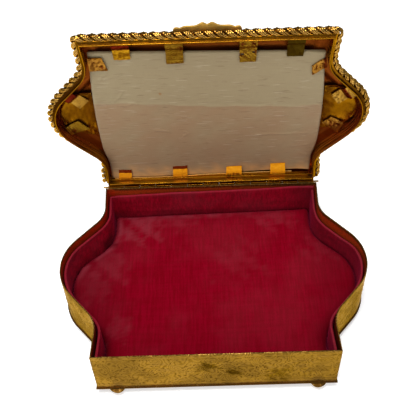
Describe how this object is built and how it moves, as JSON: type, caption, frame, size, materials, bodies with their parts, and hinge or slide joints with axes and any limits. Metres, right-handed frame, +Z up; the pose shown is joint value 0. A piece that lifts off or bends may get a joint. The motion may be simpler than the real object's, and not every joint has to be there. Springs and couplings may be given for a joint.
{
  "type": "jewelry casket",
  "caption": "Cartouche-plan gilt brass jewelry casket on bun feet, with a velvet-lined box and a hinged lid that has a twisted rope border, a scalloped crest and a silk-covered card.",
  "frame": {"origin": "centre of the base plate's flat underside, between the feet", "axes": "+Z up, +X to the right along the hinge, -Y towards the front"},
  "size_m": [0.2352, 0.1738, 0.2141],
  "materials": {
    "gilt_brass": "worn gilt brass, chased with low scrolls, with brown tarnish spots",
    "rope_brass": "bright twisted wire with dark hollows",
    "matte_brass": "matte stippled brass",
    "tab_brass": "thin bent brass strip, glossy",
    "dark_brass": "dark toned brass sheet",
    "crimson_velvet": "crimson cotton velvet with brushed streaks",
    "slub_silk": "beige slub silk over card, aged pink in its lower part"
  },
  "bodies": {
    "base": {"base_plate": "dark_brass", "base_wall": "gilt_brass", "floor_pad": "crimson_velvet", "foot_front_left": "gilt_brass", "foot_front_right": "gilt_brass", "foot_back_left": "gilt_brass", "foot_back_right": "gilt_brass", "liner_front": "crimson_velvet", "liner_back": "crimson_velvet", "liner_left": "crimson_velvet", "liner_right": "crimson_velvet", "hinge_leaf_base": "gilt_brass", "hinge_pin": "gilt_brass"},
    "lid": {"lid_plate": "gilt_brass", "lid_skirt": "gilt_brass", "lid_rope": "rope_brass", "crest": "matte_brass", "silk_card": "slub_silk", "lobe_plate_left": "gilt_brass", "lobe_plate_right": "gilt_brass", "hinge_leaf_lid": "gilt_brass", "tab_front_1": "tab_brass", "tab_front_2": "tab_brass", "tab_front_3": "tab_brass", "tab_front_4": "tab_brass", "tab_corner_left": "tab_brass", "tab_corner_right": "tab_brass", "tab_back_1": "tab_brass", "tab_back_2": "tab_brass", "tab_back_3": "tab_brass", "tab_back_4": "tab_brass", "tab_lobe_left_front": "tab_brass", "tab_lobe_left_back": "tab_brass", "tab_lobe_right_front": "tab_brass", "tab_lobe_right_back": "tab_brass"}
  },
  "joints": [
    {"name": "lid_hinge", "type": "hinge", "parent": "base", "child": "lid", "pos_m": [0, 0.0801, 0.0423], "axis": [1, 0, 0], "range_deg": [-12, 83.1]}
  ]
}
